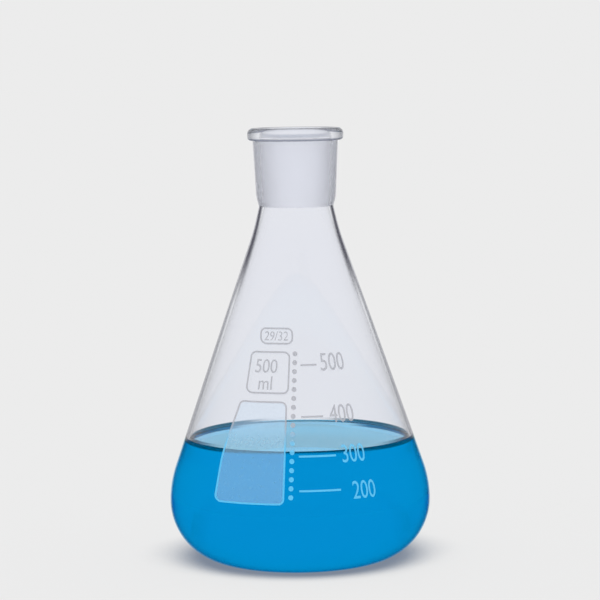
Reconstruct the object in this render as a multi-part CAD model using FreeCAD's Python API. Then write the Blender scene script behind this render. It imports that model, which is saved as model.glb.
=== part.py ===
"""Conical laboratory flask for 500 ml with a ground 29/32 socket, part filled with liquid."""
import FreeCAD, Part

import math
import os

Vector = FreeCAD.Vector

# Sizes are in millimetres and angles in degrees.
# The origin is on the axis, on the surface that the flask stands on. The print faces -Y.

# Body
flask_height = 174.5
body_radius = 52.5
heel_radius = 24.8          # from the foot up to the widest ring
belly_radius = 43.0         # from the widest ring into the cone
neck_length = 9.0           # from the bend, where the cone turns a little steeper, to the socket
neck_flare = 2.33           # how much wider the glass is at the bend than at the socket's seal
neck_bend_radius = 90.0
wall = 1.7

# Foot: a flat ring round a shallow push-up
base_thickness = 2.3
foot_ring_width = 4.2       # from the push-up's edge to the heel
push_up_height = 1.6
push_up_crown = 9.0
push_up_crown_round = 70.0
push_up_edge_round = 20.0

# Ground socket, a standard taper of one in ten on the diameter
joint_diameter = 29.2
joint_length = 32.0
joint_taper = 0.1
socket_wall = 2.7
mouth_round = 0.8
bore_end_round = 3.0

# The groove where the socket is sealed to the body
seal_rise = 0.9             # how far it stands above the end of the bore
waist_wall = 1.9
waist_round = 1.6
shoulder_rise = 3.2
shoulder_round = 15.0

# Fire-polished bead round the mouth
bead_overhang = 2.2         # how far it stands out from the socket's wall
bead_height = 5.05
bead_top_round = 2.4
bead_bottom_round = 1.5
bead_root_round = 0.4

# Liquid
fill_height = 50.0
meniscus_rise = 0.4
meniscus_radius = 2.6

# White enamel print, fired on to the outside
enamel_thickness = 0.15
line_width = 0.7
frame_line_width = 0.65
frame_round = 2.4
dot_radius = 0.95
dot_pitch = 3.35
dot_column_top = 87.3
dot_column_bottom = 32.0
dot_column_left = 1.25      # how far the column's top stands left of the axis
dot_column_lean = 0.0446    # how much further left it stands for each millimetre down

# Graduation lines for 500, 400, 300 and 200 ml: height, left end and right end of each
graduation_lines = [
    (83.0, 0.8, 7.1),
    (63.6, 0.8, 9.3),
    (48.9, -0.3, 14.0),
    (36.1, -0.3, 15.8),
]

# Printed frames, seen from the front: left, height and corner radius of each corner
joint_size_frame = [
    (-14.8, 97.2, frame_round),
    (-1.9, 97.2, frame_round),
    (-1.9, 90.8, frame_round),
    (-14.8, 90.8, frame_round),
]
capacity_frame = [
    (-18.3, 88.2, frame_round),
    (-3.0, 88.2, frame_round),
    (-3.9, 72.1, frame_round),
    (-21.0, 72.1, frame_round),
]
writing_frame = [
    (-22.8, 69.4, frame_round),
    (-4.5, 69.4, frame_round),
    (-6.3, 30.8, frame_round),
    (-33.8, 30.8, frame_round),
    (-30.3, 49.5, 60.0),
]

same_point = 1e-6           # points nearer to each other than this are one point

# Worked out from the sizes above
joint_bottom = flask_height - joint_length
joint_narrow_radius = (joint_diameter - joint_taper * joint_length) / 2
waist_radius = joint_narrow_radius + waist_wall
seal_height = joint_bottom + seal_rise
neck_bend_height = joint_bottom - neck_length
push_up_radius = body_radius - heel_radius - foot_ring_width
bead_bottom = flask_height - bead_height


def bore_radius(height):
    """Radius of the ground bore."""
    return joint_narrow_radius + joint_taper / 2 * (height - joint_bottom)


def socket_radius(height):
    """Outer radius of the socket."""
    return bore_radius(height) + socket_wall


def cone_half_angle():
    """Lean of the cone: a straight line from the bend of the neck that just meets the belly."""
    across = waist_radius + neck_flare - (body_radius - belly_radius)
    down = neck_bend_height - heel_radius
    return math.asin(belly_radius / math.hypot(across, down)) - math.atan2(across, down)


def belly_corner(inset):
    """Height at which the widest cylinder would meet the cone, for a skin this far inside."""
    return heel_radius + (belly_radius - inset) * math.tan(cone_half_angle() / 2)


def cone_radius(height, inset):
    """Radius of the cone at a height, for a skin this far inside the outer one."""
    return body_radius - inset - (height - belly_corner(inset)) * math.tan(cone_half_angle())


def body_corners(inset, floor):
    """Corners of the body's half section, from the axis up to the bend of the neck.

    Each corner is radius from the axis, height and rounding. The floor is the height of the
    foot ring, and the inset is square to the wall.
    """
    return [
        (0, floor + push_up_height, 0),
        (push_up_crown, floor + push_up_height, push_up_crown_round),
        (push_up_radius, floor, push_up_edge_round),
        (body_radius - inset, floor, heel_radius - floor),
        (body_radius - inset, belly_corner(inset), belly_radius - inset),
        (cone_radius(neck_bend_height, inset), neck_bend_height, neck_bend_radius + inset),
    ]


def rounded_edges(corners):
    """Straight edges between corners in the XZ plane, joined by tangent arcs."""
    points = [Vector(x, 0, z) for x, z, _ in corners]
    edges = []
    start = points[0]
    for before, corner, after, (_, _, radius) in zip(points, points[1:], points[2:], corners[1:]):
        end = begin = corner
        if radius:
            back = (before - corner).normalize()
            onward = (after - corner).normalize()
            half_angle = back.getAngle(onward) / 2
            reach = radius / math.tan(half_angle)
            end = corner + back * reach
            begin = corner + onward * reach
            inward = (back + onward).normalize()
            middle = corner + inward * (radius / math.sin(half_angle) - radius)
        if start.distanceToPoint(end) > same_point:
            edges.append(Part.LineSegment(start, end).toShape())
        if radius:
            edges.append(Part.Arc(end, middle, begin).toShape())
        start = begin
    if start.distanceToPoint(points[-1]) > same_point:
        edges.append(Part.LineSegment(start, points[-1]).toShape())
    return edges


def closed(edges):
    """The edges, with one more where their two ends stand apart."""
    first = edges[0].firstVertex(True).Point
    last = edges[-1].lastVertex(True).Point
    if first.distanceToPoint(last) > same_point:
        return edges + [Part.LineSegment(last, first).toShape()]
    return edges


def turned(edges, angle=360):
    """Solid made by turning a half section about the axis, from +X by way of the front."""
    section = Part.Face(Part.Wire(closed(edges)))
    return section.revolve(Vector(0, 0, 0), Vector(0, 0, -1), angle)


def make_flask():
    """Glass: body, neck and socket in one piece, with an even wall."""
    shoulder_height = seal_height + shoulder_rise
    bead_radius = socket_radius(bead_bottom) + bead_overhang
    outside = body_corners(0, 0) + [
        (waist_radius, seal_height, waist_round),
        (socket_radius(shoulder_height), shoulder_height, shoulder_round),
        (socket_radius(bead_bottom), bead_bottom, bead_root_round),
        (bead_radius, bead_bottom, bead_bottom_round),
        (bead_radius, flask_height, bead_top_round),
    ]
    inside = [
        (bore_radius(flask_height), flask_height, mouth_round),
        (joint_narrow_radius, joint_bottom, bore_end_round),
    ] + body_corners(wall, base_thickness)[::-1]
    return turned(rounded_edges(outside + inside))


def make_liquid():
    """Liquid: fills the body to its level, and climbs a little where it wets the wall."""
    contact_height = fill_height + meniscus_rise
    contact_radius = cone_radius(contact_height, wall)
    sweep = math.acos(1 - meniscus_rise / meniscus_radius)
    level_radius = contact_radius - meniscus_radius * math.sin(sweep)
    middle = Vector(
        level_radius + meniscus_radius * math.sin(sweep / 2),
        0,
        fill_height + meniscus_radius * (1 - math.cos(sweep / 2)),
    )
    wetted = body_corners(wall, base_thickness)[:-1] + [(contact_radius, contact_height, 0)]
    meniscus = Part.Arc(
        Vector(contact_radius, 0, contact_height), middle, Vector(level_radius, 0, fill_height)
    ).toShape()
    surface = rounded_edges([(level_radius, fill_height, 0), (0, fill_height, 0)])
    return turned(rounded_edges(wetted) + [meniscus] + surface)


def skin_corners(inset):
    """Corners of one side of the enamel skin, from the flat foot up to the neck."""
    heel, belly = body_corners(inset, inset)[3:5]
    top = (cone_radius(neck_bend_height, inset), neck_bend_height, 0)
    return [(push_up_radius, inset, 0), heel, belly, top]


def make_enamel_skin():
    """The front half of a skin of enamel all over the body, from which the print is cut."""
    over = skin_corners(-enamel_thickness)
    under = skin_corners(0)
    return turned(rounded_edges(over + under[::-1]), 180)


def flat_shape(corners):
    """Flat shape with rounded corners, drawn as the front view shows it."""
    arcs_and_sides = rounded_edges(corners + corners[:2])[1:-1]
    return Part.Face(Part.Wire(closed(arcs_and_sides)))


def printed(shape, skin):
    """Enamel where a flat shape is printed on to the front of the body."""
    depth = body_radius + 2 * enamel_thickness
    return skin.common(shape.extrude(Vector(0, -depth, 0)))


def inner_shape(shape):
    """What a printed frame encloses."""
    return Part.Face(shape.OuterWire.makeOffset2D(-frame_line_width))


def make_graduations(skin):
    """One line for each graduation."""
    lines = []
    for height, left, right in graduation_lines:
        top = height + line_width / 2
        bottom = height - line_width / 2
        line = flat_shape([(left, top, 0), (right, top, 0), (right, bottom, 0), (left, bottom, 0)])
        lines.append(printed(line, skin))
    return lines


def make_dot_column(skin):
    """A column of dots between the frames and the graduations."""
    dots = []
    count = int((dot_column_top - dot_column_bottom) / dot_pitch) + 1
    for index in range(count):
        drop = index * dot_pitch
        centre = Vector(-dot_column_left - drop * dot_column_lean, 0, dot_column_top - drop)
        rim = Part.Wire(Part.makeCircle(dot_radius, centre, Vector(0, -1, 0)))
        dots.append(printed(Part.Face(rim), skin))
    return dots


def make_frames(skin):
    """The outlines of the joint size, the capacity and the writing field."""
    frames = []
    for corners in (joint_size_frame, capacity_frame, writing_frame):
        shape = flat_shape(corners)
        frames.append(printed(shape.cut(inner_shape(shape)), skin))
    return frames


def make_writing_field(skin):
    """Thin matt field inside the largest frame, to be written on with a pencil."""
    return printed(inner_shape(flat_shape(writing_frame)), skin)


def save(name, solids):
    """Writes one node, made of one or more solids."""
    shape = solids[0] if len(solids) == 1 else Part.makeCompound(solids)
    shape.exportStep(os.path.join("parts", name + ".step"))
    volume = sum(solid.Volume for solid in shape.Solids)
    box = shape.BoundBox
    print(name, "solids", len(shape.Solids), "valid", shape.isValid(), "mm3", round(volume, 2))
    print("  from", round(box.XMin, 3), round(box.YMin, 3), round(box.ZMin, 3))
    print("  to", round(box.XMax, 3), round(box.YMax, 3), round(box.ZMax, 3))


os.makedirs("parts", exist_ok=True)
enamel_skin = make_enamel_skin()
marks = make_graduations(enamel_skin) + make_dot_column(enamel_skin) + make_frames(enamel_skin)
save("flask", [make_flask()])
save("liquid", [make_liquid()])
save("enamel_marks", [solid for mark in marks for solid in mark.Solids])
save("writing_field", make_writing_field(enamel_skin).Solids)
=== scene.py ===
"""Looks of a conical laboratory flask with a ground socket, a white scale and a blue liquid."""

import math

import bmesh
import bpy
from mathutils import Matrix, Vector


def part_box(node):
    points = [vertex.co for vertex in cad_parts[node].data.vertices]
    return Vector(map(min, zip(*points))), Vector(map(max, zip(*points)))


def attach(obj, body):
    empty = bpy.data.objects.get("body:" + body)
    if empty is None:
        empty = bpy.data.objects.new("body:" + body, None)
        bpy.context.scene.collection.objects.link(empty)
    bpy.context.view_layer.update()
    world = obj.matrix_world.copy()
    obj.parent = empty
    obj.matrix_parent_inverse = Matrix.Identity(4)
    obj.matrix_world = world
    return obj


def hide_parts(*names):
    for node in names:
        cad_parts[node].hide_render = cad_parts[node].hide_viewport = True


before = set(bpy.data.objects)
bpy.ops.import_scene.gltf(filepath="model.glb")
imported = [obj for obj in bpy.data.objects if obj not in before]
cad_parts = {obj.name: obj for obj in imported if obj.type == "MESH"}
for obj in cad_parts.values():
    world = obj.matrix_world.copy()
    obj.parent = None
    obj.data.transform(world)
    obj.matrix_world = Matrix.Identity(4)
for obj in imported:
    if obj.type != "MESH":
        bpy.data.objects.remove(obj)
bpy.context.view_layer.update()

MM = 0.001
_, flask_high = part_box("flask")
liquid_low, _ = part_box("liquid")

# Body, in metres. The axis is Z and the print faces -Y.
FLASK_HEIGHT = flask_high.z
BODY_RADIUS = flask_high.x
HEEL_RADIUS = 24.8 * MM
BELLY_RADIUS = 43.0 * MM
NECK_LENGTH = 9.0 * MM
NECK_FLARE = 2.33 * MM
NECK_BEND_RADIUS = 90.0 * MM
WALL = 1.7 * MM

# Foot
BASE_THICKNESS = liquid_low.z
FOOT_RING_WIDTH = 4.2 * MM
PUSH_UP_HEIGHT = 1.6 * MM
PUSH_UP_CROWN = 9.0 * MM
PUSH_UP_CROWN_ROUND = 70.0 * MM
PUSH_UP_EDGE_ROUND = 20.0 * MM

# Ground socket
JOINT_DIAMETER = 29.2 * MM
JOINT_LENGTH = 32.0 * MM
JOINT_TAPER = 0.1
SOCKET_WALL = 2.7 * MM
MOUTH_ROUND = 0.8 * MM
BORE_END_ROUND = 3.0 * MM
GROUND_STOP = 1.3 * MM      # how far above the end of the bore the grinding stops
SEAL_RISE = 0.9 * MM        # how far the groove stands above the end of the bore
WAIST_WALL = 1.9 * MM
WAIST_ROUND = 1.6 * MM
SHOULDER_RISE = 3.2 * MM
SHOULDER_ROUND = 15.0 * MM
BEAD_OVERHANG = 2.2 * MM
BEAD_HEIGHT = 5.05 * MM
BEAD_TOP_ROUND = 2.4 * MM
BEAD_BOTTOM_ROUND = 1.5 * MM
BEAD_ROOT_ROUND = 0.4 * MM

# Liquid
FILL_HEIGHT = 50.0 * MM
MENISCUS_RISE = 0.4 * MM
MENISCUS_RADIUS = 2.6 * MM
WETTING = 0.05 * MM         # how far the liquid's mesh reaches into the wall that it wets

# Print, as wide and high as the front view shows it
ENAMEL_THICKNESS = 0.15 * MM
ENAMEL_KEY = 0.02 * MM      # how far the enamel's mesh reaches into the glass
LINE_WIDTH = 0.7 * MM
FRAME_LINE_WIDTH = 0.65 * MM
FRAME_ROUND = 2.4
DOT_RADIUS = 0.95 * MM
DOT_PITCH = 3.35 * MM
DOT_COLUMN_TOP = 87.3 * MM
DOT_COLUMN_BOTTOM = 32.0 * MM
DOT_COLUMN_LEFT = 1.25 * MM
DOT_COLUMN_LEAN = 0.0446    # how much further left the column stands for each bit down
GRADUATION_LINES = [
    (83.0, 0.8, 7.1),
    (63.6, 0.8, 9.3),
    (48.9, -0.3, 14.0),
    (36.1, -0.3, 15.8),
]
JOINT_SIZE_FRAME = [
    (-14.8, 97.2, FRAME_ROUND),
    (-1.9, 97.2, FRAME_ROUND),
    (-1.9, 90.8, FRAME_ROUND),
    (-14.8, 90.8, FRAME_ROUND),
]
CAPACITY_FRAME = [
    (-18.3, 88.2, FRAME_ROUND),
    (-3.0, 88.2, FRAME_ROUND),
    (-3.9, 72.1, FRAME_ROUND),
    (-21.0, 72.1, FRAME_ROUND),
]
WRITING_FRAME = [
    (-22.8, 69.4, FRAME_ROUND),
    (-4.5, 69.4, FRAME_ROUND),
    (-6.3, 30.8, FRAME_ROUND),
    (-33.8, 30.8, FRAME_ROUND),
    (-30.3, 49.5, 60.0),
]

# Numbers: words, height, azimuth to the right in degrees, letter size and width
NUMBERS = [
    ("500", 84.0, 22.3, 9.6, 0.72),
    ("400", 64.5, 23.7, 9.6, 0.72),
    ("300", 49.4, 26.4, 9.6, 0.72),
    ("200", 35.6, 29.0, 9.6, 0.72),
    ("29/32", 94.0, -15.9, 5.0, 0.86),
    ("500", 82.6, -21.0, 7.4, 0.86),
    ("ml", 76.2, -20.4, 7.4, 0.86),
]

# Mesh fineness
TURN_STEPS = 256
ARC_STEP = 0.35 * MM
ARC_TURN = math.radians(1.3)
LEAST_ARC_STEPS = 6
MENISCUS_STEP = ARC_STEP / 4
RUN_STEP = 3.0 * MM
TINY = 0.01 * MM            # a length or height below this counts as none
PRINT_STEP = 0.8 * MM
FIELD_STEP = 1.5 * MM
DOT_SIDES = 24
LETTER_CURVE_STEPS = 6

# Worked out from the sizes above
JOINT_BOTTOM = FLASK_HEIGHT - JOINT_LENGTH
JOINT_NARROW_RADIUS = (JOINT_DIAMETER - JOINT_TAPER * JOINT_LENGTH) / 2
WAIST_RADIUS = JOINT_NARROW_RADIUS + WAIST_WALL
SEAL_HEIGHT = JOINT_BOTTOM + SEAL_RISE
NECK_BEND_HEIGHT = JOINT_BOTTOM - NECK_LENGTH
PUSH_UP_RADIUS = BODY_RADIUS - HEEL_RADIUS - FOOT_RING_WIDTH
BEAD_BOTTOM = FLASK_HEIGHT - BEAD_HEIGHT
CONTACT_HEIGHT = FILL_HEIGHT + MENISCUS_RISE

# Colours, linear. An edge colour is for glass that is seen edge on.
BACKDROP_COLOUR = (0.838, 0.838, 0.838)
NO_TINT = (1.0, 1.0, 1.0)
GLASS_TINT = (0.980, 0.987, 1.010)    # blue a little over 1: a trace of violet
INNER_TINTS = ((0.988, 0.990, 1.004), (0.996, 0.998, 1.004))
# Painted shade: the edge, rim and line colours below darken glass and liquid.
CONE_EDGE_SHADE = (0.31, 0.32, 0.35)
NECK_EDGE_SHADE = (0.12, 0.12, 0.15)
NECK_RIM_SHADE = (0.60, 0.60, 0.64)
SOCKET_EDGE_SHADE = (0.86, 0.87, 0.91)
BEAD_EDGE_SHADE = (0.52, 0.53, 0.56)
BEAD_LINE_SHADE = (0.34, 0.36, 0.44)
WET_SIDE = (0.20, 1.0, 1.0)
WET_EDGE_SHADE = (0.20, 0.74, 0.80)
WET_LINE_SHADE = (0.0, 0.13, 0.22)
GROUND_TINT = (0.93, 0.94, 0.99)
GROUND_EDGE_SHADE = (0.62, 0.63, 0.68)
LIQUID_TINT = (0.0010, 0.345, 0.765)
DEEP_TINT = (0.0010, 0.345 * 0.97, 0.765 * 0.98)
GRAZING_TINT = (0.70, 0.95, 1.0)
SURFACE_TINT = (0.20, 0.75, 1.0)
SURFACE_GLOSS = (0.50, 0.88, 1.0)
SURFACE_RIM_SHADE = (0.0, 0.03, 0.06)
# Print colours for below the water line hold painted blue light from the liquid behind.
ENAMEL_ABOVE = (0.46, 0.47, 0.52)
ENAMEL_LIQUID_LIGHT = (0.12, 0.62, 1.0)
FIELD_ABOVE = (0.62, 0.80, 1.0)
FIELD_LIQUID_LIGHT = (0.42, 0.70, 0.92)

# Finish of the liquid and the enamel
MOST_PASSES = 4.5                 # light that has crossed more surfaces is tinted less
SURFACE_MIRROR_POWER = 0.5        # the surface mirrors more than still water does
ENAMEL_SHARES = (0.85, 0.35)      # alpha and roughness of the print
FIELD_SHARES = (0.32, 0.8)        # alpha and roughness of the writing field
ENAMEL_WEAR = (0.95, 1.03)        # limits of the alpha, as a share of it
LIQUID_LIGHT_FADE = 12.0 * MM         # the painted liquid light fades out over this height

# Where a tint sets in, from 0 for a face seen square on to 1 for one seen edge on
WET_SIDE_SPAN = (0.15, 0.60)
WET_EDGE_SPAN = (0.62, 0.90)
CONE_EDGE_SPAN = (0.68, 0.80)
NECK_EDGE_SPAN = (0.50, 0.66)
NECK_RIM_SPAN = (0.74, 0.86)
SOCKET_EDGE_SPAN = (0.45, 0.90)
BEAD_EDGE_SPAN = (0.26, 0.72)
GROUND_EDGE_SPAN = (0.60, 0.95)
RIM_GLOSS_SPAN = (0.66, 0.82)
WET_RIM_GLOSS_SPAN = (0.82, 0.92)
WET_LINE_SPAN = (0.10, 0.25)
LIQUID_RIM_SPAN = (0.08, 0.20)
GRAZING_SPAN = (0.40, 0.60)
SURFACE_RIM_SPAN = (0.98, 1.0)
MENISCUS_RIM_SPAN = (0.45, 0.85)

# Heights between which one tint gives way to another
WATER_LINE_HEIGHTS = (CONTACT_HEIGHT - 0.4 * MM, CONTACT_HEIGHT + 0.4 * MM)
GLOSS_HEIGHTS = (CONTACT_HEIGHT - MM, CONTACT_HEIGHT + MM)
WET_LINE_HEIGHTS = (CONTACT_HEIGHT + 0.8 * MM, CONTACT_HEIGHT + 1.3 * MM)
LIQUID_RIM_HEIGHTS = (FILL_HEIGHT - 1.5 * MM, FILL_HEIGHT - 0.9 * MM)
DARK_EDGE_HEIGHTS = (102.0 * MM, 126.0 * MM)
BEAD_LINE_HEIGHTS = (BEAD_BOTTOM + 0.4 * MM, BEAD_BOTTOM + 1.2 * MM)

# Glass. Its outside mirrors little, but for the rim that is seen edge on.
GLASS_IOR = 1.47
LIQUID_IOR = 1.333
GLOSS_IOR = 1.25
OUTER_GLOSS = (0.15, 0.15, 0.16)
WET_GLOSS = (0.01, 0.10, 0.14)
RIM_GLOSS = (0.85, 0.85, 0.87)
WET_RIM_GLOSS = (0.75, 0.95, 1.0)
INNER_GLOSS = (1.0, 1.0, 1.0)
SPECULAR_TINT = (0.12, 0.12, 0.13)
CLEAR_RIM = 4.5 * MM              # how far below the mouth the grinding starts
BEAD_SKIRT = 0.1 * MM             # the bead's finish starts this far below it

# Noise of the surfaces
RELIEF_DETAIL = 2.0
SPECKLE_DETAIL = 3.0
NOISE_SPAN = (0.3, 0.7)           # most of a noise's values lie between these

# Unevenness of the surfaces: scale and depth
OUTER_WAVES = (35.0, 0.004 * MM)
INNER_WAVES = (30.0, 0.004 * MM)
SURFACE_WAVES = (60.0, 0.001 * MM)
GRIT = (2600.0, 0.012 * MM)

# Wandering values: scale, low and high
INNER_SHADE = (12.0, 0.0, 1.0)
GROUND_ROUGHNESS = (900.0, 0.52, 0.62)
WEAR_SCALE = 900.0

# Floor and its shadow
FLOOR_REACH = 30.0
FLOOR_GLOW = 0.92                 # share of the floor's light that shadows leave
CONTACT_SHADOW = (0.22, 0.26, 0.33)
CONTACT_REACH = 0.040             # how near the glass has to be to shade the floor closely
CONTACT_LEAN = {"Y": -0.64, "Z": 0.77}    # it looks up to the front: the shade falls behind
CONTACT_SPAN = (0.35, 0.80)       # open share at which the shade is full, and at which it ends
CONTACT_SAMPLES = 16

# Camera
CAMERA_PLACE = (0, -1.0, 0.197)
CAMERA_LENS = 149.8
CAMERA_SHIFT = (0.0040, 0.0123)
CAMERA_DOWN = math.radians(5.41)
CAMERA_ROLL = 0.0138

# Bounces that light needs to get through the walls and the liquid
SURFACE_BOUNCES = 64
CLEAR_BOUNCES = 24


def bore_radius(height):
    """Radius of the ground bore."""
    return JOINT_NARROW_RADIUS + JOINT_TAPER / 2 * (height - JOINT_BOTTOM)


def socket_radius(height):
    """Outer radius of the socket."""
    return bore_radius(height) + SOCKET_WALL


def cone_half_angle():
    """Lean of the cone: a straight line from the bend of the neck that just meets the belly."""
    across = WAIST_RADIUS + NECK_FLARE - (BODY_RADIUS - BELLY_RADIUS)
    down = NECK_BEND_HEIGHT - HEEL_RADIUS
    return math.asin(BELLY_RADIUS / math.hypot(across, down)) - math.atan2(across, down)


def belly_corner(inset):
    """Height at which the widest cylinder would meet the cone, for a skin this far inside."""
    return HEEL_RADIUS + (BELLY_RADIUS - inset) * math.tan(cone_half_angle() / 2)


def cone_radius(height, inset):
    """Radius of the cone at a height, for a skin this far inside the outer one."""
    return BODY_RADIUS - inset - (height - belly_corner(inset)) * math.tan(cone_half_angle())


def body_corners(inset, floor):
    """Corners of the body's half section, as radius, height and rounding."""
    return [
        (0, floor + PUSH_UP_HEIGHT, 0),
        (PUSH_UP_CROWN, floor + PUSH_UP_HEIGHT, PUSH_UP_CROWN_ROUND),
        (PUSH_UP_RADIUS, floor, PUSH_UP_EDGE_ROUND),
        (BODY_RADIUS - inset, floor, HEEL_RADIUS - floor),
        (BODY_RADIUS - inset, belly_corner(inset), BELLY_RADIUS - inset),
        (cone_radius(NECK_BEND_HEIGHT, inset), NECK_BEND_HEIGHT, NECK_BEND_RADIUS + inset),
    ]


def straight_run(start, end):
    """Points from start up to, but not with, end."""
    steps = max(1, math.ceil((end - start).length / RUN_STEP))
    return [start.lerp(end, step / steps) for step in range(steps)]


def rounded(corners):
    """Points along an outline of corners that are joined by straight runs and tangent arcs."""
    spots = [Vector((x, z)) for x, z, _ in corners]
    points = []
    start = spots[0]
    for before, corner, after, (_, _, radius) in zip(spots, spots[1:], spots[2:], corners[1:]):
        if not radius:
            points += straight_run(start, corner)
            start = corner
            continue
        back = (before - corner).normalized()
        onward = (after - corner).normalized()
        half_angle = back.angle(onward) / 2
        reach = radius / math.tan(half_angle)
        middle = corner + (back + onward).normalized() * (radius / math.sin(half_angle))
        begin = corner + back * reach
        sweep = math.pi - 2 * half_angle
        side = math.copysign(1, back.x * onward.y - back.y * onward.x)
        arm = begin - middle
        steps = math.ceil(min(radius * sweep / ARC_STEP, sweep / ARC_TURN))
        steps = max(LEAST_ARC_STEPS, steps)
        if (begin - start).length > TINY:
            points += straight_run(start, begin)
        for step in range(steps):
            turn = -side * sweep * step / steps
            cos, sin = math.cos(turn), math.sin(turn)
            points.append(middle + Vector((arm.x * cos - arm.y * sin, arm.x * sin + arm.y * cos)))
        start = corner + onward * reach
    return points + straight_run(start, spots[-1]) + [spots[-1]]


def new_piece(name, mesh):
    """An object of the scene that rides on the flask's body."""
    piece = bpy.data.objects.new(name, mesh)
    bpy.context.scene.collection.objects.link(piece)
    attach(piece, "root")
    return piece


def turned(name, outline):
    """Piece made by turning an outline that starts and ends on the axis."""
    vertices = []
    rings = []
    for point in outline:
        if point.x < TINY:
            rings.append([len(vertices)] * TURN_STEPS)
            vertices.append((0, 0, point.y))
            continue
        rings.append(list(range(len(vertices), len(vertices) + TURN_STEPS)))
        for step in range(TURN_STEPS):
            angle = math.tau * step / TURN_STEPS
            vertices.append((point.x * math.cos(angle), point.x * math.sin(angle), point.y))
    faces = []
    for lower, upper in zip(rings, rings[1:]):
        for step in range(TURN_STEPS):
            onward = (step + 1) % TURN_STEPS
            corners = (lower[step], lower[onward], upper[onward], upper[step])
            faces.append(list(dict.fromkeys(corners)))
    mesh = bpy.data.meshes.new(name)
    mesh.from_pydata(vertices, [], faces)
    mesh.shade_smooth()
    return new_piece(name, mesh)


def flask_outline():
    """Outside of the glass from the middle of its foot to the mouth, and back down inside."""
    shoulder_height = SEAL_HEIGHT + SHOULDER_RISE
    bead_radius = socket_radius(BEAD_BOTTOM) + BEAD_OVERHANG
    outside = body_corners(0, 0) + [
        (WAIST_RADIUS, SEAL_HEIGHT, WAIST_ROUND),
        (socket_radius(shoulder_height), shoulder_height, SHOULDER_ROUND),
        (socket_radius(BEAD_BOTTOM), BEAD_BOTTOM, BEAD_ROOT_ROUND),
        (bead_radius, BEAD_BOTTOM, BEAD_BOTTOM_ROUND),
        (bead_radius, FLASK_HEIGHT, BEAD_TOP_ROUND),
    ]
    inside = [
        (bore_radius(FLASK_HEIGHT), FLASK_HEIGHT, MOUTH_ROUND),
        (JOINT_NARROW_RADIUS, JOINT_BOTTOM, BORE_END_ROUND),
    ]
    body = body_corners(WALL, BASE_THICKNESS)
    water_line = (cone_radius(CONTACT_HEIGHT, WALL), CONTACT_HEIGHT, 0)
    inside += [body[-1], water_line] + body[-2::-1]
    return rounded(outside + inside)


def liquid_outline():
    """Wetted side of the liquid from the middle of the base, its meniscus and its surface."""
    sweep = math.acos(1 - MENISCUS_RISE / MENISCUS_RADIUS)
    level_radius = cone_radius(CONTACT_HEIGHT, WALL) - MENISCUS_RADIUS * math.sin(sweep)
    wet_wall = WALL - WETTING
    wetted = body_corners(wet_wall, BASE_THICKNESS - WETTING)[:-1]
    wetted.append((cone_radius(CONTACT_HEIGHT, wet_wall), CONTACT_HEIGHT, 0))
    steps = math.ceil(MENISCUS_RADIUS * sweep / MENISCUS_STEP)
    meniscus = []
    for step in range(steps):
        turn = sweep * (1 - step / steps)
        across = level_radius + MENISCUS_RADIUS * math.sin(turn)
        up = FILL_HEIGHT + MENISCUS_RADIUS * (1 - math.cos(turn))
        meniscus.append(Vector((across, up)))
    edge = Vector((level_radius, FILL_HEIGHT))
    centre = Vector((0, FILL_HEIGHT))
    return rounded(wetted) + meniscus + straight_run(edge, centre) + [centre]


def node_maker(tree):
    """Short way to add a node to a tree, with its properties and its inputs' values or links."""
    def add(kind, inputs=(), **properties):
        node = tree.nodes.new(kind)
        for key, value in properties.items():
            setattr(node, key, value)
        for key, value in dict(inputs).items():
            if isinstance(value, bpy.types.NodeSocket):
                tree.links.new(value, node.inputs[key])
            else:
                node.inputs[key].default_value = value
        return node
    return add


def rgba(colour):
    """A colour that covers fully."""
    return (*colour, 1.0)


def new_group(name, inputs, outputs):
    """An empty node group with its sockets, its node maker and its two end nodes."""
    tree = bpy.data.node_groups.new(name, "ShaderNodeTree")
    for label in inputs:
        tree.interface.new_socket(label, in_out="INPUT", socket_type="NodeSocketFloat")
    for label, kind in outputs.items():
        tree.interface.new_socket(label, in_out="OUTPUT", socket_type=kind)
    add = node_maker(tree)
    return tree, add, add("NodeGroupInput"), add("NodeGroupOutput")


def relief_group():
    """Fine or broad unevenness of a surface, as a normal."""
    tree, add, given, result = new_group(
        "surface_relief", ("Scale", "Depth"), {"Normal": "NodeSocketVector"})
    place = add("ShaderNodeTexCoord")
    noise = add("ShaderNodeTexNoise", {
        "Vector": place.outputs["Object"],
        "Scale": given.outputs["Scale"],
        "Detail": RELIEF_DETAIL,
    })
    bump = add("ShaderNodeBump", {
        "Height": noise.outputs["Fac"],
        "Strength": 1.0,
        "Distance": given.outputs["Depth"],
    })
    tree.links.new(bump.outputs["Normal"], result.inputs["Normal"])
    return tree


def speckle_group():
    """A value that wanders a little over the surface between two limits."""
    tree, add, given, result = new_group(
        "speckle", ("Scale", "Low", "High"), {"Value": "NodeSocketFloat"})
    place = add("ShaderNodeTexCoord")
    noise = add("ShaderNodeTexNoise", {
        "Vector": place.outputs["Object"],
        "Scale": given.outputs["Scale"],
        "Detail": SPECKLE_DETAIL,
    })
    value = add("ShaderNodeMapRange", {
        "Value": noise.outputs["Fac"],
        "From Min": NOISE_SPAN[0],
        "From Max": NOISE_SPAN[1],
        "To Min": given.outputs["Low"],
        "To Max": given.outputs["High"],
    })
    tree.links.new(value.outputs["Result"], result.inputs["Value"])
    return tree


def height_group():
    """Nothing below one height and all above another, with a soft change between them."""
    tree, add, given, result = new_group(
        "height_share", ("Bottom", "Top"), {"Share": "NodeSocketFloat"})
    place = add("ShaderNodeTexCoord")
    parts = add("ShaderNodeSeparateXYZ", {"Vector": place.outputs["Object"]})
    share = add("ShaderNodeMapRange", {
        "Value": parts.outputs["Z"],
        "From Min": given.outputs["Bottom"],
        "From Max": given.outputs["Top"],
    }, interpolation_type="SMOOTHSTEP")
    tree.links.new(share.outputs["Result"], result.inputs["Share"])
    return tree


RELIEF = relief_group()
SPECKLE = speckle_group()
HEIGHT_SHARE = height_group()


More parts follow.
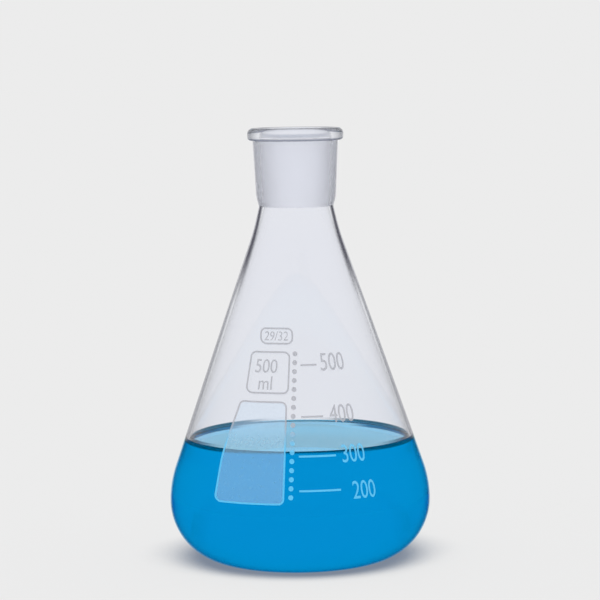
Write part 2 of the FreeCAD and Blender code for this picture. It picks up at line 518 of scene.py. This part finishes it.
def new_material(name):
    """An empty material with its node maker and its output node."""
    material = bpy.data.materials.new(name)
    material.use_nodes = True
    tree = material.node_tree
    tree.nodes.clear()
    add = node_maker(tree)
    return material, tree, add, add("ShaderNodeOutputMaterial")


def principled_material(name):
    """A material with its node maker and its principled shader."""
    material, tree, add, output = new_material(name)
    shader = add("ShaderNodeBsdfPrincipled")
    tree.links.new(shader.outputs["BSDF"], output.inputs["Surface"])
    return material, tree, add, shader


def group_node(add, tree, inputs):
    """A node that holds one of the shared groups."""
    node = add("ShaderNodeGroup", node_tree=tree)
    for key, value in inputs.items():
        node.inputs[key].default_value = value
    return node


def mixed(add, factor, first, second):
    """Colour between two others, which may be numbers or sockets."""
    inputs = {"Factor": factor}
    for key, colour in (("A", first), ("B", second)):
        inputs[key] = colour if isinstance(colour, bpy.types.NodeSocket) else rgba(colour)
    return add("ShaderNodeMix", inputs, data_type="RGBA").outputs["Result"]


def edge_share(add, span):
    """Share that grows from a face that is seen square on to one that is seen edge on."""
    seen = add("ShaderNodeLayerWeight", {"Blend": 0.5})
    return add("ShaderNodeMapRange", {
        "Value": seen.outputs["Facing"],
        "From Min": span[0],
        "From Max": span[1],
    }, interpolation_type="SMOOTHSTEP").outputs["Result"]


def finish_clear_glass(tree, add, output, tint, ior, normal, outer_gloss=OUTER_GLOSS):
    """Bends light, mirrors a little outside and mirrors fully inside the glass."""
    behind = add("ShaderNodeNewGeometry").outputs["Backfacing"]
    outer_ior = 1 + (ior - 1) * (GLOSS_IOR - 1) / (GLASS_IOR - 1)
    outside = add("ShaderNodeFresnel", {"IOR": outer_ior})
    inside = add("ShaderNodeFresnel", {"IOR": ior})
    share = add("ShaderNodeMix", {
        "Factor": behind,
        "A": outside.outputs["Fac"],
        "B": inside.outputs["Fac"],
    }, data_type="FLOAT")
    gloss = mixed(add, behind, outer_gloss, INNER_GLOSS)
    join_glass(tree, add, output, share.outputs["Result"], tint, gloss, ior, normal)


def join_glass(tree, add, output, share, tint, gloss, ior, normal):
    """Bent and mirrored light in one surface."""
    bent = add("ShaderNodeBsdfRefraction", {
        "Color": tint,
        "Roughness": 0.0,
        "IOR": ior,
        "Normal": normal,
    })
    mirrored = add("ShaderNodeBsdfAnisotropic", {
        "Color": gloss,
        "Roughness": 0.0,
        "Normal": normal,
    })
    both = add("ShaderNodeMixShader", {
        0: share,
        1: bent.outputs["BSDF"],
        2: mirrored.outputs["BSDF"],
    })
    tree.links.new(both.outputs["Shader"], output.inputs["Surface"])


def edge_tint(add, span, centre, edge):
    """Tint that changes from one that is seen square on to one that is seen edge on."""
    return mixed(add, edge_share(add, span), centre, edge)


def height_mix(add, span, below, above):
    """Tint that changes between two heights."""
    share = group_node(add, HEIGHT_SHARE, {"Bottom": span[0], "Top": span[1]}).outputs["Share"]
    return mixed(add, share, below, above)


def uneven(add, scale, depth):
    """Normal of a surface with waves or grit."""
    return group_node(add, RELIEF, {"Scale": scale, "Depth": depth}).outputs["Normal"]


def wandering(add, scale, low, high):
    """Value that wanders over the surface between two limits."""
    return group_node(add, SPECKLE, {"Scale": scale, "Low": low, "High": high}).outputs["Value"]


def body_tint(add):
    """Body: painted edge shade, grey in the cone, dark in the neck and blue-black by the liquid.
    """
    wet = edge_tint(add, WET_SIDE_SPAN, GLASS_TINT, WET_SIDE)
    wet = edge_tint(add, WET_EDGE_SPAN, wet, WET_EDGE_SHADE)
    cone = edge_tint(add, CONE_EDGE_SPAN, GLASS_TINT, CONE_EDGE_SHADE)
    neck = edge_tint(add, NECK_EDGE_SPAN, GLASS_TINT, NECK_EDGE_SHADE)
    neck = edge_tint(add, NECK_RIM_SPAN, neck, NECK_RIM_SHADE)
    dry = height_mix(add, DARK_EDGE_HEIGHTS, cone, neck)
    return height_mix(add, WATER_LINE_HEIGHTS, wet, dry)


def socket_tint(add):
    """Socket: thick and pale, so that the shade painted on its edge is faint."""
    return edge_tint(add, SOCKET_EDGE_SPAN, GLASS_TINT, SOCKET_EDGE_SHADE)


def bead_tint(add):
    """Bead: painted shade, grey towards its ends and a dark line where it leaves the wall."""
    bead = edge_tint(add, BEAD_EDGE_SPAN, GLASS_TINT, BEAD_EDGE_SHADE)
    return height_mix(add, BEAD_LINE_HEIGHTS, BEAD_LINE_SHADE, bead)


def outer_glass_material(name, tint_maker):
    """Fire-polished outside: clear, a little violet, with painted shade where seen edge on."""
    material, tree, add, output = new_material(name)
    dry = edge_tint(add, RIM_GLOSS_SPAN, OUTER_GLOSS, RIM_GLOSS)
    wet = edge_tint(add, WET_RIM_GLOSS_SPAN, WET_GLOSS, WET_RIM_GLOSS)
    gloss = height_mix(add, GLOSS_HEIGHTS, wet, dry)
    waves = uneven(add, *OUTER_WAVES)
    finish_clear_glass(tree, add, output, tint_maker(add), GLASS_IOR, waves, gloss)
    return material


def inner_glass_material(name, ior, rim):
    """Inside of the wall, with the air or the liquid on its other side.

    The rim is its tint, edge on, for a line of painted shade just above the water line.
    """
    material, tree, add, output = new_material(name)
    tint = mixed(add, wandering(add, *INNER_SHADE), *INNER_TINTS)
    # painted shade: a dark line just above the water line, where the wall is seen edge on
    line = edge_tint(add, WET_LINE_SPAN, NO_TINT, rim)
    tint = height_mix(add, WET_LINE_HEIGHTS, line, tint)
    finish_clear_glass(tree, add, output, tint, ior, uneven(add, *INNER_WAVES))
    return material


def set_glass(shader, ior):
    """Plain clear glass values."""
    shader.inputs["Metallic"].default_value = 0.0
    shader.inputs["Roughness"].default_value = 0.0
    shader.inputs["IOR"].default_value = ior
    shader.inputs["Transmission Weight"].default_value = 1.0


def ground_glass_material():
    """Ground glass: fine grit has made it matt and translucent."""
    material, tree, add, shader = principled_material("ground_bore")
    # painted shade: the ground glass greys where it is seen edge on
    tint = edge_tint(add, GROUND_EDGE_SPAN, GROUND_TINT, GROUND_EDGE_SHADE)
    tree.links.new(tint, shader.inputs["Base Color"])
    tree.links.new(uneven(add, *GRIT), shader.inputs["Normal"])
    set_glass(shader, GLASS_IOR)
    shader.inputs["Specular Tint"].default_value = rgba(SPECULAR_TINT)
    tree.links.new(wandering(add, *GROUND_ROUGHNESS), shader.inputs["Roughness"])
    return material


def liquid_side_material():
    """Clear blue liquid against the wall, a little darker towards the base."""
    material, tree, add, shader = principled_material("blue_solution")
    tint = height_mix(add, (0.0, FILL_HEIGHT), DEEP_TINT, LIQUID_TINT)
    # painted shade: the liquid darkens at its edge just under the surface
    rim = edge_tint(add, LIQUID_RIM_SPAN, LIQUID_TINT, SURFACE_RIM_SHADE)
    tint = height_mix(add, LIQUID_RIM_HEIGHTS, tint, rim)
    tint = edge_tint(add, GRAZING_SPAN, tint, GRAZING_TINT)
    passes = add("ShaderNodeLightPath").outputs["Transmission Depth"]
    trapped = add("ShaderNodeMath", {0: passes, 1: MOST_PASSES}, operation="GREATER_THAN")
    tint = mixed(add, trapped.outputs["Value"], tint, GRAZING_TINT)
    tree.links.new(tint, shader.inputs["Base Color"])
    set_glass(shader, 1.0)
    return material


def liquid_surface_material(name, span):
    """Surface of the liquid against the air, with painted shade where its rim is seen edge on."""
    material, tree, add, output = new_material(name)
    mirror = add("ShaderNodeFresnel", {"IOR": LIQUID_IOR}).outputs["Fac"]
    power = {0: mirror, 1: SURFACE_MIRROR_POWER}
    share = add("ShaderNodeMath", power, operation="POWER").outputs["Value"]
    tint = edge_tint(add, span, SURFACE_TINT, SURFACE_RIM_SHADE)
    gloss = edge_tint(add, span, SURFACE_GLOSS, SURFACE_RIM_SHADE)
    waves = uneven(add, *SURFACE_WAVES)
    join_glass(tree, add, output, share, tint, gloss, LIQUID_IOR, waves)
    return material


def enamel_material(name, above, below, alpha, roughness):
    """Fired white enamel that lets a share of the light through, also from the liquid behind."""
    material, tree, add, shader = principled_material(name)
    wear = wandering(add, WEAR_SCALE, *(alpha * limit for limit in ENAMEL_WEAR))
    # painted light: below the water line the print takes the blue of the liquid behind it
    colour = height_mix(add, (CONTACT_HEIGHT, CONTACT_HEIGHT + LIQUID_LIGHT_FADE), below, above)
    tree.links.new(colour, shader.inputs["Base Color"])
    front = add("ShaderNodeMath", {
        0: 1.0,
        1: add("ShaderNodeNewGeometry").outputs["Backfacing"],
    }, operation="SUBTRACT")
    seen = add("ShaderNodeMath", {
        0: front.outputs["Value"],
        1: wear,
    }, operation="MULTIPLY")
    tree.links.new(seen.outputs["Value"], shader.inputs["Alpha"])
    shader.inputs["Roughness"].default_value = roughness
    return material


def highest(outline):
    """Number of the first point at the top of an outline, to a tenth of a micrometre."""
    return max(range(len(outline)), key=lambda index: (round(outline[index].y, 7), -index))


def make_flask():
    """Glass of the flask, with its ground bore matt."""
    outline = flask_outline()
    piece = turned("flask_glass", outline)
    for material in (
        outer_glass_material("clear_borosilicate", body_tint),
        inner_glass_material("inner_glass", GLASS_IOR, WET_LINE_SHADE),
        inner_glass_material("wetted_glass", GLASS_IOR / LIQUID_IOR, NO_TINT),
        ground_glass_material(),
        outer_glass_material("socket_glass", socket_tint),
        outer_glass_material("bead_glass", bead_tint),
    ):
        piece.data.materials.append(material)
    body, inner, wetted, ground, socket, bead = range(6)
    mouth = highest(outline)
    for face in piece.data.polygons:
        height = face.center.z
        if face.index // TURN_STEPS < mouth or height > FLASK_HEIGHT - MOUTH_ROUND:
            if height > BEAD_BOTTOM - BEAD_SKIRT:
                face.material_index = bead
            else:
                face.material_index = socket if height > SEAL_HEIGHT else body
        elif JOINT_BOTTOM + GROUND_STOP < height <= FLASK_HEIGHT - CLEAR_RIM:
            face.material_index = ground
        else:
            face.material_index = inner if height > CONTACT_HEIGHT else wetted
    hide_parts("flask")


def make_liquid():
    """Blue liquid in the body, with its wetted side and its surface."""
    outline = liquid_outline()
    piece = turned("blue_fill", outline)
    for material in (
        liquid_side_material(),
        liquid_surface_material("blue_surface", SURFACE_RIM_SPAN),
        liquid_surface_material("blue_meniscus", MENISCUS_RIM_SPAN),
    ):
        piece.data.materials.append(material)
    surface, meniscus = 1, 2
    contact = highest(outline)
    for face in piece.data.polygons:
        if face.index // TURN_STEPS >= contact:
            level = face.center.z <= FILL_HEIGHT + TINY
            face.material_index = surface if level else meniscus
    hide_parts("liquid")


def outer_radius(height):
    """Outer radius of the body from its heel up, where the print is."""
    belly_top = HEEL_RADIUS + BELLY_RADIUS * math.sin(cone_half_angle())
    if height > belly_top:
        return cone_radius(height, 0)
    round_off = HEEL_RADIUS if height < HEEL_RADIUS else BELLY_RADIUS
    return BODY_RADIUS - round_off + math.sqrt(round_off ** 2 - (height - HEEL_RADIUS) ** 2)


def front_projection(x, z, lift):
    """Place on the body, or this far over it, behind a point of the front view."""
    radius = outer_radius(z) + lift
    return Vector((x, -math.sqrt(radius ** 2 - x ** 2), z))


def cut_up(shape, step):
    """Cuts a flat shape in X and Y into strips that can follow a curved surface."""
    for normal in (Vector((1, 0, 0)), Vector((0, 1, 0))):
        along = [vertex.co.dot(normal) for vertex in shape.verts]
        low, span = min(along), max(along) - min(along)
        cuts = math.ceil(span / step)
        for cut in range(1, cuts):
            everything = shape.verts[:] + shape.edges[:] + shape.faces[:]
            place = normal * (low + span * cut / cuts)
            bmesh.ops.bisect_plane(shape, geom=everything, plane_co=place, plane_no=normal)


def enamel(name, shape, place, material, node):
    """Gives a flat shape its thickness and puts it on the glass. Place maps x, y and lift."""
    flat = shape.verts[:]
    extruded = bmesh.ops.extrude_face_region(shape, geom=shape.faces[:])
    top = {part for part in extruded["geom"] if isinstance(part, bmesh.types.BMVert)}
    for vertex in flat + list(top):
        lift = ENAMEL_THICKNESS if vertex in top else -ENAMEL_KEY
        vertex.co = place(vertex.co.x, vertex.co.y, lift)
    bmesh.ops.recalc_face_normals(shape, faces=shape.faces[:])
    mesh = bpy.data.meshes.new(name)
    shape.to_mesh(mesh)
    shape.free()
    mesh.materials.append(material)
    piece = new_piece(name, mesh)
    if node:
        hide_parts(node)


def printed_words(name, words, height, azimuth, size, stretch, material):
    """Words in enamel, wrapped round the body. Their middle is at an azimuth to the right."""
    curve = bpy.data.curves.new(name, "FONT")
    curve.body = words
    curve.size = size
    curve.align_x = "CENTER"
    curve.align_y = "CENTER"
    curve.resolution_u = LETTER_CURVE_STEPS
    lettering = bpy.data.objects.new(name, curve)
    bpy.context.scene.collection.objects.link(lettering)
    bpy.context.view_layer.update()
    flat = bpy.data.meshes.new_from_object(lettering)
    bpy.data.objects.remove(lettering)
    shape = bmesh.new()
    shape.from_mesh(flat)
    bpy.data.meshes.remove(flat)
    tops = [vertex.co.y for vertex in shape.verts]
    middle = (max(tops) + min(tops)) / 2
    cut_up(shape, PRINT_STEP)

    def place(x, y, lift):
        z = height + y - middle
        angle = azimuth + x * stretch / outer_radius(height)
        radius = outer_radius(z) + lift
        return Vector((radius * math.sin(angle), -radius * math.cos(angle), z))

    enamel(name, shape, place, material, None)


def flat_outline(corners):
    """Closed outline with rounded corners in the front view, in metres."""
    scaled = [(x * MM, z * MM, radius * MM) for x, z, radius in corners]
    first, last = scaled[0], scaled[-1]
    start = ((first[0] + last[0]) / 2, (first[1] + last[1]) / 2, 0)
    return rounded([start] + scaled + [start])[:-1]


def inset_outline(points, distance):
    """The outline this far inside, point for point."""
    inner = []
    for before, point, after in zip(points[-1:] + points, points, points[1:] + points[:1]):
        along = (after - before).normalized()
        inner.append(point + Vector((along.y, -along.x)) * distance)
    return inner


def face_between(shape, outer, inner):
    """Fills the band between two outlines that have as many points."""
    outer = [shape.verts.new((point.x, point.y, 0)) for point in outer]
    inner = [shape.verts.new((point.x, point.y, 0)) for point in inner]
    count = len(outer)
    for index in range(count):
        onward = (index + 1) % count
        shape.faces.new((outer[index], outer[onward], inner[onward], inner[index]))


def face_inside(shape, outline):
    """Fills an outline."""
    shape.faces.new([shape.verts.new((point.x, point.y, 0)) for point in outline])


def make_print():
    """Graduation lines, dots, frames, numbers and the writing field."""
    white = enamel_material("white_print", ENAMEL_ABOVE, ENAMEL_LIQUID_LIGHT, *ENAMEL_SHARES)
    matt = enamel_material("matt_field", FIELD_ABOVE, FIELD_LIQUID_LIGHT, *FIELD_SHARES)
    for index, (height, left, right) in enumerate(GRADUATION_LINES):
        shape = bmesh.new()
        low, high = height * MM - LINE_WIDTH / 2, height * MM + LINE_WIDTH / 2
        corners = [(left * MM, high), (right * MM, high), (right * MM, low), (left * MM, low)]
        face_inside(shape, [Vector(corner) for corner in corners])
        cut_up(shape, PRINT_STEP)
        enamel(f"line_{index}", shape, front_projection, white, "enamel_marks")
    for index, drop in enumerate(dot_drops()):
        shape = bmesh.new()
        middle = Vector((-DOT_COLUMN_LEFT - drop * DOT_COLUMN_LEAN, DOT_COLUMN_TOP - drop))
        turns = [math.tau * side / DOT_SIDES for side in range(DOT_SIDES)]
        arms = [DOT_RADIUS * Vector((math.cos(turn), math.sin(turn))) for turn in turns]
        face_inside(shape, [middle + arm for arm in arms])
        cut_up(shape, PRINT_STEP)
        enamel(f"dot_{index}", shape, front_projection, white, "enamel_marks")
    for name, corners in (
        ("joint_size_frame", JOINT_SIZE_FRAME),
        ("capacity_frame", CAPACITY_FRAME),
        ("writing_frame", WRITING_FRAME),
    ):
        shape = bmesh.new()
        outline = flat_outline(corners)
        face_between(shape, outline, inset_outline(outline, FRAME_LINE_WIDTH))
        enamel(name, shape, front_projection, white, "enamel_marks")
    shape = bmesh.new()
    face_inside(shape, inset_outline(flat_outline(WRITING_FRAME), FRAME_LINE_WIDTH))
    cut_up(shape, FIELD_STEP)
    enamel("matt_field", shape, front_projection, matt, "writing_field")
    for index, (words, height, azimuth, size, stretch) in enumerate(NUMBERS):
        printed_words(
            f"print_{index}", words, height * MM, math.radians(azimuth), size * MM, stretch, white)


def dot_drops():
    """How far below the column's top each dot stands."""
    count = int((DOT_COLUMN_TOP - DOT_COLUMN_BOTTOM) / DOT_PITCH) + 1
    return [index * DOT_PITCH for index in range(count)]


def make_floor():
    """Plain pale floor that keeps a soft shadow, darker where the glass is near."""
    reach = FLOOR_REACH
    corners = [(-reach, -reach, 0), (reach, -reach, 0), (reach, reach, 0), (-reach, reach, 0)]
    mesh = bpy.data.meshes.new("floor")
    mesh.from_pydata(corners, [], [(0, 1, 2, 3)])
    floor = bpy.data.objects.new("floor", mesh)
    bpy.context.scene.collection.objects.link(floor)
    material, tree, add, output = new_material("pale_floor")
    near = add("ShaderNodeAmbientOcclusion", {
        "Distance": CONTACT_REACH,
        "Normal": add("ShaderNodeCombineXYZ", CONTACT_LEAN).outputs["Vector"],
    }, samples=CONTACT_SAMPLES)
    open_share = add("ShaderNodeMapRange", {
        "Value": near.outputs["AO"],
        "From Min": CONTACT_SPAN[0],
        "From Max": CONTACT_SPAN[1],
    }, interpolation_type="SMOOTHSTEP")
    colour = mixed(add, open_share.outputs["Result"], CONTACT_SHADOW, BACKDROP_COLOUR)
    matt = add("ShaderNodeBsdfDiffuse", {"Color": colour})
    glow = add("ShaderNodeEmission", {"Color": colour})
    mix = add("ShaderNodeMixShader", {0: FLOOR_GLOW, 1: matt.outputs[0], 2: glow.outputs[0]})
    tree.links.new(mix.outputs[0], output.inputs["Surface"])
    mesh.materials.append(material)


def make_world():
    """Even studio light, with a pale backdrop for the camera and for glass."""
    world = bpy.data.worlds.new("studio")
    bpy.context.scene.world = world
    world.use_nodes = True
    tree = world.node_tree
    tree.nodes.clear()
    add = node_maker(tree)
    rays = add("ShaderNodeLightPath")
    shown = rays.outputs["Is Camera Ray"]
    for kind in ("Is Glossy Ray", "Is Transmission Ray"):
        inputs = {0: shown, 1: rays.outputs[kind]}
        shown = add("ShaderNodeMath", inputs, operation="MAXIMUM").outputs[0]
    light = add("ShaderNodeBackground", {"Color": (1, 1, 1, 1), "Strength": 1.0})
    backdrop = add("ShaderNodeBackground", {"Color": rgba(BACKDROP_COLOUR), "Strength": 1.0})
    mix = add("ShaderNodeMixShader", {0: shown, 1: light.outputs[0], 2: backdrop.outputs[0]})
    output = add("ShaderNodeOutputWorld")
    tree.links.new(mix.outputs[0], output.inputs["Surface"])


def make_camera():
    """Camera at the photograph's angle, a little above the mouth and a metre away."""
    data = bpy.data.cameras.new("camera")
    data.sensor_width = 36.0
    data.lens = CAMERA_LENS
    data.shift_x, data.shift_y = CAMERA_SHIFT
    camera = bpy.data.objects.new("camera", data)
    camera.location = CAMERA_PLACE
    camera.rotation_mode = "QUATERNION"
    tilt = Matrix.Rotation(math.pi / 2 - CAMERA_DOWN, 4, "X")
    camera.rotation_quaternion = (tilt @ Matrix.Rotation(-CAMERA_ROLL, 4, "Z")).to_quaternion()
    bpy.context.scene.collection.objects.link(camera)
    bpy.context.scene.camera = camera


make_flask()
make_liquid()
make_print()
make_floor()
make_world()
make_camera()

scene = bpy.context.scene
scene.view_settings.view_transform = "Standard"
scene.cycles.max_bounces = SURFACE_BOUNCES
scene.cycles.transmission_bounces = SURFACE_BOUNCES
scene.cycles.glossy_bounces = SURFACE_BOUNCES
scene.cycles.transparent_max_bounces = CLEAR_BOUNCES
